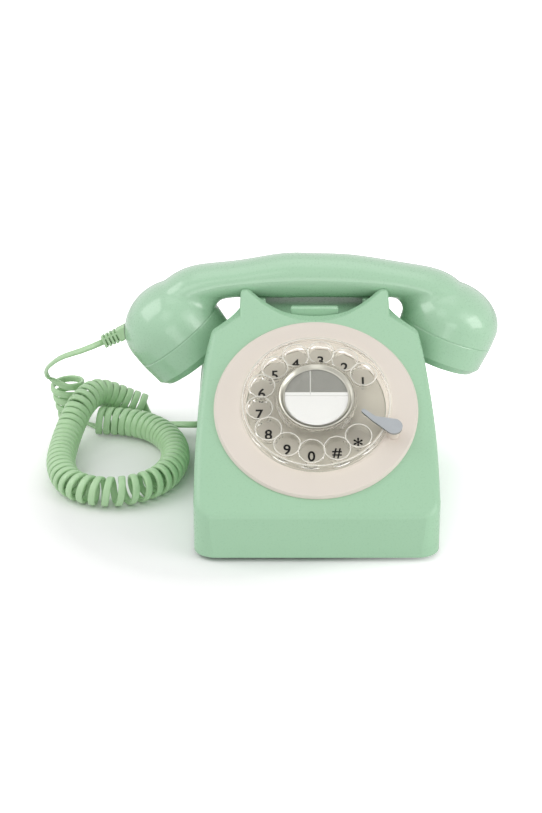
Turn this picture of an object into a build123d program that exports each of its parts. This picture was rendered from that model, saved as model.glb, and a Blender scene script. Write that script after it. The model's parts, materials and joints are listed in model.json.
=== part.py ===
from build123d import *
from math import acos, cos, pi, radians, sin, sqrt, tan
import os

os.makedirs("parts", exist_ok=True)

# Driving dimensions, millimetres
case_width = 143.0
case_depth = 196.0
case_wall = 2.8
foot_height = 3.6
face_slope = 35.0
horn_top = 118.3
dial_ring_radius = 60.5
handset_half_span = 83.5
handle_depth = 34.0
handle_height = 27.2
cap_radius = 30.0
cord_diameter = 3.6
curl_radius = 7.0

# Clearances
running_gap = 0.05
seat_gap = 0.3
panel_gap = 0.4

# Values derived from the driving dimensions
half_width = case_width / 2
half_depth = case_depth / 2
case_bottom = foot_height - 1.0
crease_y = -half_depth + 0.7
crease_z = case_bottom + 26.6
barrel_z = crease_z + 11.0
shoulder_z = horn_top - 18.3
shoulder_x = half_width - 9.1
neck_z = horn_top - 10.0
rear_deck_z = 58.0
horn_x = half_width - 26.3
valley_z = horn_top - 12.8
deck_z = horn_top - 14.3
notch_z = deck_z - 4.0
rear_horn_y = 78.0
handset_x = -0.5
handset_y = 50.0
handset_z = horn_top + 2.8
handset_lean = 8.0
cap_clear_radius = 37.0
slope_run = 1.0 / tan(radians(face_slope))


def face_y(z):
    return crease_y + (z - crease_z) * slope_run


dial_z = 70.2
dial_centre = Vector(0, face_y(dial_z), dial_z)
dial_normal = Vector(0, -sin(radians(face_slope)), cos(radians(face_slope)))
dial_plane = Plane(origin=dial_centre, x_dir=(1, 0, 0), z_dir=dial_normal)
handset_plane = Plane(
    origin=(handset_x, handset_y, handset_z),
    x_dir=(1, 0, 0),
    z_dir=(0, -cos(radians(handset_lean)), sin(radians(handset_lean))),
)


def profile_plane(base):
    return Plane(origin=base.origin, x_dir=base.x_dir, z_dir=-base.y_dir)


def spin_axis(base):
    return Axis(base.origin, base.z_dir)


def save(part, name):
    part.label = name
    export_step(part, "parts/" + name + ".step")


def on_face(edge):
    flat = True
    for u in (0.05, 0.5, 0.95):
        p = edge @ u
        flat = flat and abs(dial_plane.to_local_coords(p).Z) < 0.05
    return flat


def in_notch(edge):
    middle = edge.center()
    return middle.Z > notch_z - 0.1 and abs(middle.X) < horn_x - 3.0


# Handset handle, lofted through ellipses: distance along, top, bottom, half depth
handle_stations = [
    (-1.180, -0.66, -2.30, 0.56),
    (-1.000, 0.16, -2.02, 0.58),
    (-0.840, 0.47, -1.44, 0.54),
    (-0.680, 0.58, -1.10, 0.51),
    (-0.360, 0.87, -1.00, 0.50),
    (0.000, 1.00, -1.00, 0.50),
    (0.360, 0.87, -1.00, 0.50),
    (0.680, 0.55, -1.10, 0.51),
    (0.840, 0.38, -1.44, 0.54),
    (1.000, 0.07, -2.02, 0.58),
    (1.140, -0.64, -2.20, 0.54),
]


def handle_form(grow):
    with BuildPart() as form:
        for along, top, bottom, half in handle_stations:
            high = top * handle_height / 2 + grow
            low = bottom * handle_height / 2 - grow
            centre = handset_plane.from_local_coords(Vector(along * handset_half_span, (high + low) / 2, 0))
            section = Plane(origin=centre, x_dir=handset_plane.z_dir, z_dir=(1, 0, 0))
            with BuildSketch(section):
                Ellipse(half * handle_depth + grow, (high - low) / 2)
        loft()
    return form.part


# Case form: front outline crossed with side outline and plan, less the scoops for the handset ends
def wing_form(inset, edge):
    with BuildPart() as form:
        with BuildSketch(Plane.XZ) as front:
            with BuildLine():
                floor_line = Line((0, case_bottom), (half_width, case_bottom))
                wall_line = Line(floor_line @ 1, (half_width, barrel_z))
                barrel = TangentArc(wall_line @ 1, (shoulder_x, shoulder_z), tangent=(0, 1))
                slant = Line(barrel @ 1, (horn_x - 3.2, neck_z + 0.7))
                step_down = Line(slant @ 1, (horn_x - 3.2, notch_z))
                across = Line(step_down @ 1, (0, notch_z))
                Line(across @ 1, floor_line @ 0)
            make_face()
            mirror(about=Plane.YZ)
            fillet(front.vertices().filter_by(lambda v: abs(abs(v.X) - shoulder_x) < 0.1), 5)
            if inset > 0:
                offset(amount=-inset, kind=Kind.INTERSECTION)
        extrude(amount=half_depth + 10, both=True)
        with BuildSketch(Plane.YZ) as side:
            with BuildLine():
                Polyline(
                    (-half_depth, case_bottom),
                    (crease_y, crease_z),
                    (face_y(neck_z + 0.7), neck_z + 0.7),
                    (30, neck_z + 0.7),
                    (34, rear_deck_z),
                    (half_depth - 6, rear_deck_z - 8),
                    (half_depth, case_bottom),
                    close=True,
                )
            make_face()
            if inset > 0:
                offset(amount=-inset, kind=Kind.INTERSECTION)
        extrude(amount=half_width + 10, both=True, mode=Mode.INTERSECT)
        with BuildSketch() as plan:
            RectangleRounded(case_width - 2 * inset, case_depth - 2 * inset, 13 - inset)
        extrude(amount=horn_top + 10, mode=Mode.INTERSECT)
        if edge > 0:
            fillet(form.edges().filter_by(lambda e: on_face(e) and not in_notch(e)), edge)
    return form.part


def neck_form(inset, edge):
    with BuildPart() as form:
        with BuildSketch(Plane.XZ) as front:
            with BuildLine():
                base_line = Line((-horn_x - 4.6, 20), (horn_x + 4.6, 20))
                right = Line(base_line @ 1, (horn_x, horn_top))
                tip = Line(right @ 1, (horn_x - 4.4, horn_top))
                valley = ThreePointArc(tip @ 1, (0, valley_z), (-horn_x + 4.4, horn_top))
                other = Line(valley @ 1, (-horn_x, horn_top))
                Line(other @ 1, base_line @ 0)
            make_face()
            fillet(front.vertices().filter_by(lambda v: v.Y > horn_top - 0.1), 2.0)
            if inset > 0:
                offset(amount=-inset, kind=Kind.INTERSECTION)
        extrude(amount=half_depth + 10, both=True)
        with BuildSketch(Plane.YZ) as side:
            with BuildLine():
                Polyline(
                    (face_y(80), 80),
                    (face_y(horn_top), horn_top),
                    (rear_horn_y, horn_top),
                    (rear_horn_y + 11, 20),
                    (0, 20),
                    close=True,
                )
            make_face()
            if inset > 0:
                offset(amount=-inset, kind=Kind.INTERSECTION)
        extrude(amount=half_width + 10, both=True, mode=Mode.INTERSECT)
        if edge > 0:
            fillet(form.edges().filter_by(lambda e: on_face(e) and e.bounding_box().min.Z > 81), edge)
    return form.part


scoop_x = 80.0
scoop_y = 44.0
scoop_round = 12.0


def scoop_form(inset):
    reach = cap_clear_radius + inset
    low = rear_deck_z - 1 - inset
    with BuildPart() as form:
        with BuildSketch(Plane.XZ.offset(-scoop_y)) as section:
            with BuildLine():
                floor_line = Line((scoop_x, low), (scoop_x + reach - scoop_round, low))
                bend = TangentArc(floor_line @ 1, (scoop_x + reach, low + scoop_round), tangent=(1, 0))
                wall_line = Line(bend @ 1, (scoop_x + reach, horn_top + 20))
                Polyline(wall_line @ 1, (scoop_x, horn_top + 20), floor_line @ 0)
            make_face()
        revolve(axis=Axis((scoop_x, scoop_y, 0), (0, 0, 1)))
        mirror(about=Plane.YZ)
    return form.part


# Places that several pieces share
dial_hole_radius = 40.5
plate_top = foot_height + 1.6
plunger_x = 32.0
plunger_y = 36.5
plunger_radius = 2.2
button_y = 24.0
button_size = (29.0, 4.0)
recess_size = (64.0, 24.0, 17.0)
recess_z = 84.0
screw_x = half_width - 6.5
screw_spots = [(-screw_x, -76), (screw_x, -76), (-screw_x, 56), (screw_x, 56)]
socket_x = 34.0
socket_size = (14.0, 14.5, 13.0)
socket_z = plate_top + socket_size[2] / 2
cord_entry_y = 67.5
cord_entry_z = 10.4
stop_angle = -22.3
stop_radius = 48.6
blade_under = 10.3
wheel_radius = 44.6
flange_screw_radius = 46.5
flange_screw_angles = (35, 150, 265)

# Case cover
rear_face_y = rear_horn_y + 11 * (horn_top - recess_z) / (horn_top - 20)
with BuildPart() as case_hollow:
    add(wing_form(case_wall, 0))
    add(neck_form(case_wall, 0))
    with BuildSketch(Plane.XY.offset(-5)):
        RectangleRounded(case_width - 2 * case_wall, case_depth - 2 * case_wall - 1.4, 13 - case_wall)
    extrude(amount=crease_z - 4 + 5)
    add(scoop_form(case_wall), mode=Mode.SUBTRACT)
    with BuildSketch(Plane.XY.offset(deck_z - case_wall)):
        Rectangle(2 * case_width, 2 * case_depth)
    extrude(amount=60, mode=Mode.SUBTRACT)
    with BuildSketch(Plane.XZ.offset(-rear_face_y + recess_size[2] + case_wall)):
        with Locations((0, recess_z)):
            Rectangle(recess_size[0] + 2 * case_wall, recess_size[1] + 2 * case_wall)
    extrude(amount=-60, mode=Mode.SUBTRACT)

with BuildPart() as case_shell:
    add(wing_form(0, 5))
    add(neck_form(0, 1.8))
    add(scoop_form(0), mode=Mode.SUBTRACT)
    with BuildSketch(Plane.YZ) as cradle:
        with BuildLine():
            Polyline(
                (face_y(deck_z) + 5.6, deck_z),
                (face_y(horn_top + 10) + 5.6, horn_top + 10),
                (rear_horn_y - 5, horn_top + 10),
                (rear_horn_y - 5, deck_z),
                close=True,
            )
        make_face()
        fillet(cradle.vertices().filter_by(lambda v: v.Y < deck_z + 0.1), 2.5)
    extrude(amount=horn_x - 5.8, both=True, mode=Mode.SUBTRACT)
    add(handle_form(seat_gap), mode=Mode.SUBTRACT)
    with BuildSketch(Plane.XZ.offset(-rear_face_y + recess_size[2])):
        with Locations((0, recess_z)):
            RectangleRounded(recess_size[0], recess_size[1], 8)
    extrude(amount=-60, mode=Mode.SUBTRACT)
    add(case_hollow.part, mode=Mode.SUBTRACT)
    with BuildSketch(Plane.XY.offset(plate_top)):
        with Locations(*screw_spots):
            Circle(4.5)
    extrude(amount=18)
    with BuildSketch(Plane.XY.offset(plate_top)):
        with Locations(*screw_spots):
            Circle(1.5 + running_gap)
    extrude(amount=12, mode=Mode.SUBTRACT)
    with BuildSketch(dial_plane.offset(2)):
        Circle(dial_hole_radius)
    extrude(amount=-8, mode=Mode.SUBTRACT)
    with BuildSketch(dial_plane.offset(2)):
        with PolarLocations(stop_radius, 1, stop_angle):
            Circle(1.6 + running_gap)
    extrude(amount=-8, mode=Mode.SUBTRACT)
    for angle in flange_screw_angles:
        with BuildSketch(dial_plane.offset(-case_wall)):
            with PolarLocations(flange_screw_radius, 1, angle):
                Circle(1.4 + running_gap)
        extrude(amount=2.2, mode=Mode.SUBTRACT)
    with BuildSketch(Plane.XY.offset(deck_z + 1)):
        with Locations((-plunger_x, plunger_y), (plunger_x, plunger_y)):
            Circle(plunger_radius + running_gap)
        with Locations((0, button_y)):
            RectangleRounded(button_size[0] + 0.3, button_size[1] + 0.3, 1.15)
    extrude(amount=-8, mode=Mode.SUBTRACT)
    with BuildSketch(Plane.XZ.offset(-half_depth - 5)):
        with Locations((socket_x, socket_z)):
            Rectangle(socket_size[0] + 0.6, socket_size[2] + 0.6)
    extrude(amount=14, mode=Mode.SUBTRACT)
    with BuildSketch(Plane.YZ.offset(-half_width - 5)):
        with Locations((cord_entry_y, cord_entry_z)):
            Rectangle(10.6, 8.6)
    extrude(amount=12, mode=Mode.SUBTRACT)
save(case_shell.part, "case_shell")

# Base plate, feet and the screws that hold the cover
plate_bottom = foot_height
plate_size = (case_width - 2 * case_wall - 2 * panel_gap, case_depth - 2 * case_wall - 1.4 - 2 * panel_gap)
with BuildPart() as base_plate:
    with BuildSketch(Plane.XY.offset(plate_bottom)):
        RectangleRounded(plate_size[0], plate_size[1], 10)
        with Locations(*screw_spots):
            Circle(1.5 + 2 * running_gap, mode=Mode.SUBTRACT)
    extrude(amount=plate_top - plate_bottom)
save(base_plate.part, "base_plate")

with BuildPart() as rubber_feet:
    with BuildSketch():
        with GridLocations(108, 168, 2, 2):
            Circle(8)
    extrude(amount=foot_height, taper=4)
save(rubber_feet.part, "rubber_feet")

with BuildPart() as base_screws:
    with BuildSketch(Plane.XY.offset(plate_bottom - 1.6)):
        with Locations(*screw_spots):
            Circle(2.9)
    extrude(amount=1.6)
    with BuildSketch(Plane.XY.offset(plate_bottom)):
        with Locations(*screw_spots):
            Circle(1.5)
    extrude(amount=11)
save(base_screws.part, "base_screws")

# Dial ring on the face
with BuildPart() as dial_ring:
    with BuildSketch(profile_plane(dial_plane)) as section:
        with BuildLine():
            Polyline(
                (dial_hole_radius + 0.7, 0),
                (dial_ring_radius, 0),
                (dial_ring_radius, 0.9),
                (dial_ring_radius - 1.1, 2.1),
                (dial_hole_radius + 5.0, 2.1),
                (dial_hole_radius + 0.7, 1.3),
                close=True,
            )
        make_face()
    revolve(axis=spin_axis(dial_plane))
    with BuildSketch(dial_plane.offset(1)):
        with PolarLocations(stop_radius, 1, stop_angle):
            Circle(stop_radius - wheel_radius - seat_gap)
    extrude(amount=blade_under - 1)
    with BuildSketch(dial_plane):
        with PolarLocations(stop_radius, 1, stop_angle):
            Circle(1.6 + running_gap)
    extrude(amount=blade_under + 1, mode=Mode.SUBTRACT)
save(dial_ring.part, "dial_ring")

# Dial housing: cup behind the face with a fixing flange
housing_radius = dial_hole_radius - 0.3
housing_top = 0.2
disc_under = housing_top - 2.0
flange_top = -case_wall
flange_under = flange_top - 2.0
plate_back_top = -23.0
spindle_radius = 3.0
governor_angle = 200.0
gear_module = 0.8
gear_teeth = 56
pinion_teeth = 14
mesh_distance = gear_module * (gear_teeth + pinion_teeth) / 2
pillar_angles = (50, 130, 300)
pillar_radius = 33.0
with BuildPart() as dial_housing:
    with BuildSketch(dial_plane.offset(disc_under)):
        Circle(housing_radius)
        Circle(4.9 + running_gap, mode=Mode.SUBTRACT)
    extrude(amount=housing_top - disc_under)
    with BuildSketch(dial_plane.offset(-15)):
        Circle(housing_radius)
        Circle(housing_radius - 2, mode=Mode.SUBTRACT)
    extrude(amount=disc_under + 15)
    with BuildSketch(dial_plane.offset(flange_under)):
        Circle(51.6)
        Circle(housing_radius - 1, mode=Mode.SUBTRACT)
    extrude(amount=flange_top - flange_under)
    with BuildSketch(dial_plane.offset(flange_under - 1)):
        for angle in flange_screw_angles:
            with PolarLocations(flange_screw_radius, 1, angle):
                Circle(1.4 + running_gap)
        with PolarLocations(stop_radius, 1, stop_angle):
            Circle(1.6 + running_gap)
    extrude(amount=5, mode=Mode.SUBTRACT)
    with BuildSketch(dial_plane.offset(disc_under)):
        with PolarLocations(mesh_distance, 1, governor_angle):
            Circle(1.5 + running_gap)
    extrude(amount=1.1, mode=Mode.SUBTRACT)
save(dial_housing.part, "dial_housing")

with BuildPart() as dial_screws:
    for angle in flange_screw_angles:
        with BuildSketch(dial_plane.offset(flange_under)):
            with PolarLocations(flange_screw_radius, 1, angle):
                Circle(1.4)
        extrude(amount=3.8)
        with BuildSketch(dial_plane.offset(flange_under)):
            with PolarLocations(flange_screw_radius, 1, angle):
                Circle(2.6)
        extrude(amount=-1.5)
save(dial_screws.part, "dial_screws")

# Number plate under the finger wheel
with BuildPart() as number_plate:
    with BuildSketch(dial_plane.offset(housing_top)):
        Circle(dial_hole_radius + 0.4)
        Circle(5.5, mode=Mode.SUBTRACT)
    extrude(amount=0.8)
save(number_plate.part, "number_plate")

# Spindle and its bush
with BuildPart() as spindle_bush:
    with BuildSketch(dial_plane.offset(disc_under)):
        Circle(4.9)
        Circle(spindle_radius + running_gap, mode=Mode.SUBTRACT)
    extrude(amount=housing_top + 0.6 - disc_under)
    with BuildSketch(dial_plane.offset(disc_under)):
        Circle(7.5)
        Circle(spindle_radius + running_gap, mode=Mode.SUBTRACT)
    extrude(amount=-2.4)
save(spindle_bush.part, "spindle_bush")

with BuildPart() as dial_spindle:
    with BuildSketch(dial_plane.offset(plate_back_top - 3.5)):
        Circle(spindle_radius)
    extrude(amount=12.3 - plate_back_top + 3.5)
save(dial_spindle.part, "dial_spindle")


# Involute gear outline as points, one tooth centred on the first angle
def involute(angle):
    return tan(angle) - angle


def gear_points(teeth, module, first):
    pitch = teeth * module / 2
    base = pitch * cos(radians(20))
    tip = pitch + 0.8 * module
    root = pitch - 1.15 * module
    half = (pi / 2 / teeth) * 0.9
    points = []
    for k in range(teeth):
        middle = radians(first) + k * 2 * pi / teeth
        flank = []
        for r in (root, max(base, root) + 0.05, pitch, tip):
            swing = half + involute(radians(20)) - involute(acos(min(1.0, base / max(r, base))))
            flank.append((r, swing))
        points += [(r * cos(middle - a), r * sin(middle - a)) for r, a in flank]
        points += [(r * cos(middle + a), r * sin(middle + a)) for r, a in reversed(flank)]
    return points


with BuildPart() as drive_gear:
    with BuildSketch(dial_plane.offset(-8)):
        with BuildLine():
            Polyline(*gear_points(gear_teeth, gear_module, governor_angle), close=True)
        make_face()
        Circle(spindle_radius + running_gap, mode=Mode.SUBTRACT)
        with PolarLocations(13, 5):
            Circle(4.5, mode=Mode.SUBTRACT)
    extrude(amount=2)
save(drive_gear.part, "drive_gear")

governor_x = mesh_distance * cos(radians(governor_angle))
governor_y = mesh_distance * sin(radians(governor_angle))
with BuildPart() as governor_pinion:
    with BuildSketch(dial_plane.offset(-8.4)):
        with Locations((governor_x, governor_y)):
            Circle(1.5)
    extrude(amount=2.8)
    with BuildSketch(dial_plane.offset(-8.4)) as teeth_outline:
        with BuildLine():
            Polyline(
                *[
                    (governor_x + px, governor_y + py)
                    for px, py in gear_points(pinion_teeth, gear_module, governor_angle + 180 + 180 / pinion_teeth)
                ],
                close=True,
            )
        make_face()
    extrude(amount=2.8)
    with BuildSketch(dial_plane.offset(plate_back_top - 1.6)):
        with Locations((governor_x, governor_y)):
            Circle(1.5)
    extrude(amount=disc_under + 0.9 - plate_back_top + 1.6)
save(governor_pinion.part, "governor_pinion")

with BuildPart() as governor_rotor:
    with BuildSketch(dial_plane.offset(-18)):
        with Locations((governor_x, governor_y)):
            Circle(3.2)
            Rectangle(11.4, 2.6)
            Circle(1.5 + running_gap, mode=Mode.SUBTRACT)
    extrude(amount=4)
    with BuildSketch(dial_plane.offset(-19.5)):
        with Locations((governor_x - 5, governor_y), (governor_x + 5, governor_y)):
            Rectangle(2.6, 6)
    extrude(amount=7)
save(governor_rotor.part, "governor_rotor")

with BuildPart() as governor_cup:
    with BuildSketch(dial_plane.offset(plate_back_top)):
        with Locations((governor_x, governor_y)):
            Circle(9.0)
            Circle(7.8, mode=Mode.SUBTRACT)
    extrude(amount=10)
    with BuildSketch(dial_plane.offset(plate_back_top)):
        with Locations((governor_x, governor_y)):
            Circle(8.5)
            Circle(2.4, mode=Mode.SUBTRACT)
    extrude(amount=1.2)
save(governor_cup.part, "governor_cup")

# Back plate of the dial works on three pillars
with BuildPart() as dial_back_plate:
    with BuildSketch(dial_plane.offset(plate_back_top - 2)):
        Circle(housing_radius - 2.6)
        Circle(spindle_radius + running_gap, mode=Mode.SUBTRACT)
        with Locations((governor_x, governor_y)):
            Circle(1.5 + running_gap, mode=Mode.SUBTRACT)
        with PolarLocations(20, 2, 80, 75):
            Circle(6, mode=Mode.SUBTRACT)
    extrude(amount=2)
save(dial_back_plate.part, "dial_back_plate")

with BuildPart() as dial_pillars:
    for angle in pillar_angles:
        with BuildSketch(dial_plane.offset(plate_back_top)):
            with PolarLocations(pillar_radius, 1, angle):
                RegularPolygon(3.2, 6)
        extrude(amount=disc_under - plate_back_top)
save(dial_pillars.part, "dial_pillars")

# Spiral return spring, half circles of growing radius, with its anchor post
spring_thickness = 0.5
spring_first = spindle_radius + 0.15 + spring_thickness / 2
spring_step = 2.45
spring_halves = 9
spring_start = Vector(spring_first, 0)
with BuildPart() as return_spring:
    with BuildSketch(dial_plane.offset(-14)) as strip:
        with BuildLine() as spiral:
            here = spring_start
            facing = 1
            radius = spring_first + spring_step / 2
            for k in range(spring_halves):
                there = Vector(here.X - facing * 2 * radius, 0)
                middle = Vector((here.X + there.X) / 2, facing * radius)
                ThreePointArc(here, middle, there)
                here = there
                facing = -facing
                radius = radius + spring_step / 2
        trace(line_width=spring_thickness)
    extrude(amount=3)
save(return_spring.part, "return_spring")
spring_end = here

with BuildPart() as spring_post:
    with BuildSketch(dial_plane.offset(plate_back_top)):
        with Locations((spring_end.X - spring_thickness / 2 - 1.3 - running_gap, 0)):
            Circle(1.3)
    extrude(amount=-10 - plate_back_top)
save(spring_post.part, "spring_post")

# Pulse cam and its contacts
cam_radius = 11.0
lobe_radius = 1.3
with BuildPart() as pulse_cam:
    with BuildSketch(dial_plane.offset(-20)):
        Circle(cam_radius)
        with PolarLocations(cam_radius, 12):
            Circle(lobe_radius)
        Circle(spindle_radius + running_gap, mode=Mode.SUBTRACT)
    extrude(amount=2.4)
save(pulse_cam.part, "pulse_cam")

leaf_y = -cam_radius - lobe_radius - 0.5
with BuildPart() as contact_block:
    with BuildSketch(dial_plane.offset(plate_back_top)):
        with Locations((18, leaf_y - 0.6)):
            Rectangle(7, 6)
    extrude(amount=7)
    with BuildSketch(dial_plane.offset(plate_back_top + 2.95)):
        with Locations((18, leaf_y - 0.6)):
            Rectangle(9, 0.5)
    extrude(amount=3.1, mode=Mode.SUBTRACT)
save(contact_block.part, "contact_block")

with BuildPart() as pulse_contacts:
    with BuildSketch(dial_plane.offset(plate_back_top + 3)):
        with Locations((6, leaf_y - 0.6)):
            Rectangle(31, 0.4)
    extrude(amount=3)
save(pulse_contacts.part, "pulse_contacts")

# Finger wheel with twelve holes and collars
hole_count = 12
hole_step = 360.0 / 14
first_hole = 33.5
hole_circle = 33.7
hole_radius = 6.6
hub_top = 15.0
card_floor = 12.6
with BuildPart() as finger_wheel:
    with BuildSketch(profile_plane(dial_plane)) as section:
        with BuildLine():
            Polyline(
                (spindle_radius + running_gap, 2.4),
                (7.5, 2.4),
                (7.5, 10.8),
                (20.4, 10.8),
                (20.4, 4.6),
                (wheel_radius - 2.2, 4.6),
                (wheel_radius - 2.2, 3.2),
                (wheel_radius, 3.2),
                (wheel_radius, 8.8),
                (wheel_radius - 0.7, 9.5),
                (wheel_radius - 1.6, 9.5),
                (wheel_radius - 2.4, 8.4),
                (25.2, 8.4),
                (24.2, 9.4),
                (23.4, hub_top),
                (22.4, hub_top),
                (22.2, card_floor),
                (spindle_radius + running_gap, card_floor),
                close=True,
            )
        make_face()
    revolve(axis=spin_axis(dial_plane))
    with BuildSketch(dial_plane.offset(4.0)):
        for k in range(hole_count):
            with PolarLocations(hole_circle, 1, first_hole + k * hole_step):
                Circle(hole_radius + 1.4)
    extrude(amount=5.2)
    with BuildSketch(dial_plane.offset(2)):
        for k in range(hole_count):
            with PolarLocations(hole_circle, 1, first_hole + k * hole_step):
                Circle(hole_radius)
    extrude(amount=10, mode=Mode.SUBTRACT)
    chamfer(
        finger_wheel.edges().filter_by(
            lambda e: e.geom_type == GeomType.CIRCLE
            and abs(e.radius - hole_radius) < 0.01
            and abs(dial_plane.to_local_coords(e.arc_center).Z - 9.2) < 0.01
        ),
        0.8,
    )
save(finger_wheel.part, "finger_wheel")

card_radius = 18.6
with BuildPart() as label_card:
    with BuildSketch(dial_plane.offset(card_floor)):
        Circle(card_radius)
    extrude(amount=0.3)
save(label_card.part, "label_card")

with BuildPart() as hub_ring:
    with BuildSketch(profile_plane(dial_plane)):
        with BuildLine():
            Polyline(
                (card_radius + 0.3, card_floor),
                (card_radius + 3.3, card_floor),
                (card_radius + 3.3, card_floor + 2.3),
                (card_radius + 2.5, card_floor + 2.6),
                (card_radius + 1.0, card_floor + 1.2),
                (card_radius + 0.3, card_floor + 1.0),
                close=True,
            )
        make_face()
    revolve(axis=spin_axis(dial_plane))
save(hub_ring.part, "hub_ring")

with BuildPart() as label_cover:
    with BuildSketch(dial_plane.offset(card_floor + 0.3 + running_gap)):
        Circle(card_radius)
    extrude(amount=1.8)
    chamfer(label_cover.faces().sort_by(Axis(dial_plane.origin, dial_plane.z_dir))[-1].edges(), 0.6)
save(label_cover.part, "label_cover")

# Finger stop: stud through the ring's boss and a bent blade over the wheel
stop_head = (stop_radius * cos(radians(stop_angle)), stop_radius * sin(radians(stop_angle)))
stop_links = [((27.6, -8.0), 1.3), ((33.6, -13.3), 1.7), (stop_head, 5.0)]
with BuildPart() as finger_stop:
    with BuildSketch(dial_plane.offset(flange_under - 0.4)):
        with Locations(stop_head):
            Circle(1.6)
    extrude(amount=blade_under - flange_under + 0.4)
    for (start, start_round), (end, end_round) in zip(stop_links[:-1], stop_links[1:]):
        with BuildSketch(dial_plane.offset(blade_under)):
            with Locations(start):
                Circle(start_round)
            with Locations(end):
                Circle(end_round)
            make_hull()
        extrude(amount=1.4)
save(finger_stop.part, "finger_stop")

# Cradle: hook plungers, lever, bracket and switch
deck_under = deck_z - case_wall
plunger_top = handset_z - 10.3
plunger_foot = 88.0
plunger_travel = 4.0
pivot_y = 52.0
pivot_z = 86.0
with BuildPart() as hook_plunger_left:
    with BuildSketch(Plane.XY.offset(plunger_foot)):
        with Locations((-plunger_x, plunger_y)):
            Circle(plunger_radius)
    extrude(amount=plunger_top - plunger_foot)
    with BuildSketch(Plane.XY.offset(plunger_foot + 5.5)):
        with Locations((-plunger_x, plunger_y)):
            Circle(plunger_radius + 1.4)
    extrude(amount=2)
    fillet(hook_plunger_left.faces().sort_by(Axis.Z)[-1].edges(), 0.8)
save(hook_plunger_left.part, "hook_plunger_left")

with BuildPart() as hook_plunger_right:
    mirror(hook_plunger_left.part, about=Plane.YZ)
save(hook_plunger_right.part, "hook_plunger_right")

with BuildPart() as hook_lever:
    with BuildSketch(Plane.XY.offset(pivot_z - 1.5)):
        with Locations((0, plunger_y)):
            Rectangle(2 * plunger_x + 8, 5)
        for x in (-20, 20):
            with Locations((x, (plunger_y + pivot_y) / 2)):
                Rectangle(4, pivot_y - plunger_y)
    extrude(amount=3.2)
    with BuildSketch(Plane.YZ.offset(-22)):
        with Locations((pivot_y, pivot_z)):
            Circle(3.6)
    extrude(amount=44)
    with BuildSketch(Plane.YZ.offset(-30)):
        with Locations((pivot_y, pivot_z)):
            Circle(2 + running_gap)
    extrude(amount=60, mode=Mode.SUBTRACT)
save(hook_lever.part, "hook_lever")

with BuildPart() as hook_pin:
    with BuildSketch(Plane.YZ.offset(-26.5)):
        with Locations((pivot_y, pivot_z)):
            Circle(2)
    extrude(amount=53)
save(hook_pin.part, "hook_pin")

with BuildPart() as hook_bracket:
    with BuildSketch(Plane.XY.offset(deck_under - 2.2)):
        with Locations((0, pivot_y)):
            Rectangle(56, 11)
        with Locations((0, 38)):
            Rectangle(18, 20)
    extrude(amount=2.2)
    with BuildSketch(Plane.YZ.offset(-26)):
        with Locations((pivot_y, (deck_under + 79) / 2)):
            Rectangle(11, deck_under - 79)
        with Locations((pivot_y, pivot_z)):
            Circle(2 + running_gap, mode=Mode.SUBTRACT)
    extrude(amount=2)
    mirror(about=Plane.YZ)
    with BuildSketch(Plane.XY.offset(79)):
        with Locations((0, pivot_y)):
            Rectangle(52, 11)
    extrude(amount=2)
    with BuildSketch(Plane.YZ.offset(-9)):
        with BuildLine():
            Polyline(
                (28, deck_under),
                (30, deck_under),
                (30, 88.5),
                (19, 88.5),
                (19, 90.5),
                (28, 90.5),
                close=True,
            )
        make_face()
    extrude(amount=18)
save(hook_bracket.part, "hook_bracket")

with BuildPart() as hook_switch:
    with BuildSketch(Plane.XY.offset(71)):
        with Locations((0, pivot_y)):
            Rectangle(20, 10)
    extrude(amount=8)
    with BuildSketch(Plane.XY.offset(67)):
        with Locations((-6, pivot_y), (0, pivot_y), (6, pivot_y)):
            Rectangle(0.8, 3)
    extrude(amount=4)
save(hook_switch.part, "hook_switch")

# Recall bar in the deck and its switch
button_top = deck_z + 6.4
with BuildPart() as recall_button:
    with BuildSketch(Plane.XY.offset(deck_under - 5)):
        with Locations((0, button_y)):
            RectangleRounded(button_size[0], button_size[1], 1)
    extrude(amount=button_top - deck_under + 5)
    with BuildSketch(Plane.XY.offset(deck_under - 1.7)):
        with Locations((0, button_y)):
            Rectangle(button_size[0] + 2.4, button_size[1] + 1.6)
    extrude(amount=1.6)
    fillet(recall_button.faces().sort_by(Axis.Z)[-1].edges(), 0.8)
save(recall_button.part, "recall_button")

with BuildPart() as recall_switch:
    with BuildSketch(Plane.XY.offset(90.5)):
        with Locations((0, button_y - 0.6)):
            Rectangle(12, 6)
    extrude(amount=2.2)
save(recall_switch.part, "recall_switch")

# Ringer: two gongs on posts, coil in a frame, clapper between the gongs
gong_x = 31.0
gong_y = 52.0
gong_radius = 24.0
gong_base = 11.0
gong_rise = 13.0
with BuildPart() as gong_left:
    with BuildSketch(Plane.XZ.offset(-gong_y)):
        with BuildLine():
            outer_arc = EllipticalCenterArc((-gong_x, gong_base), gong_radius, gong_rise, start_angle=0, arc_size=90)
            inner_arc = EllipticalCenterArc(
                (-gong_x, gong_base), gong_radius - 1.5, gong_rise - 1.5, start_angle=0, arc_size=90
            )
            Line(outer_arc @ 0, inner_arc @ 0)
            Line(outer_arc @ 1, inner_arc @ 1)
        make_face()
    revolve(axis=Axis((-gong_x, gong_y, 0), (0, 0, 1)))
    with BuildSketch(Plane.XY.offset(gong_base)):
        with Locations((-gong_x, gong_y)):
            Circle(2.1)
    extrude(amount=30, mode=Mode.SUBTRACT)
save(gong_left.part, "gong_left")

with BuildPart() as gong_right:
    mirror(gong_left.part, about=Plane.YZ)
save(gong_right.part, "gong_right")

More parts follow.
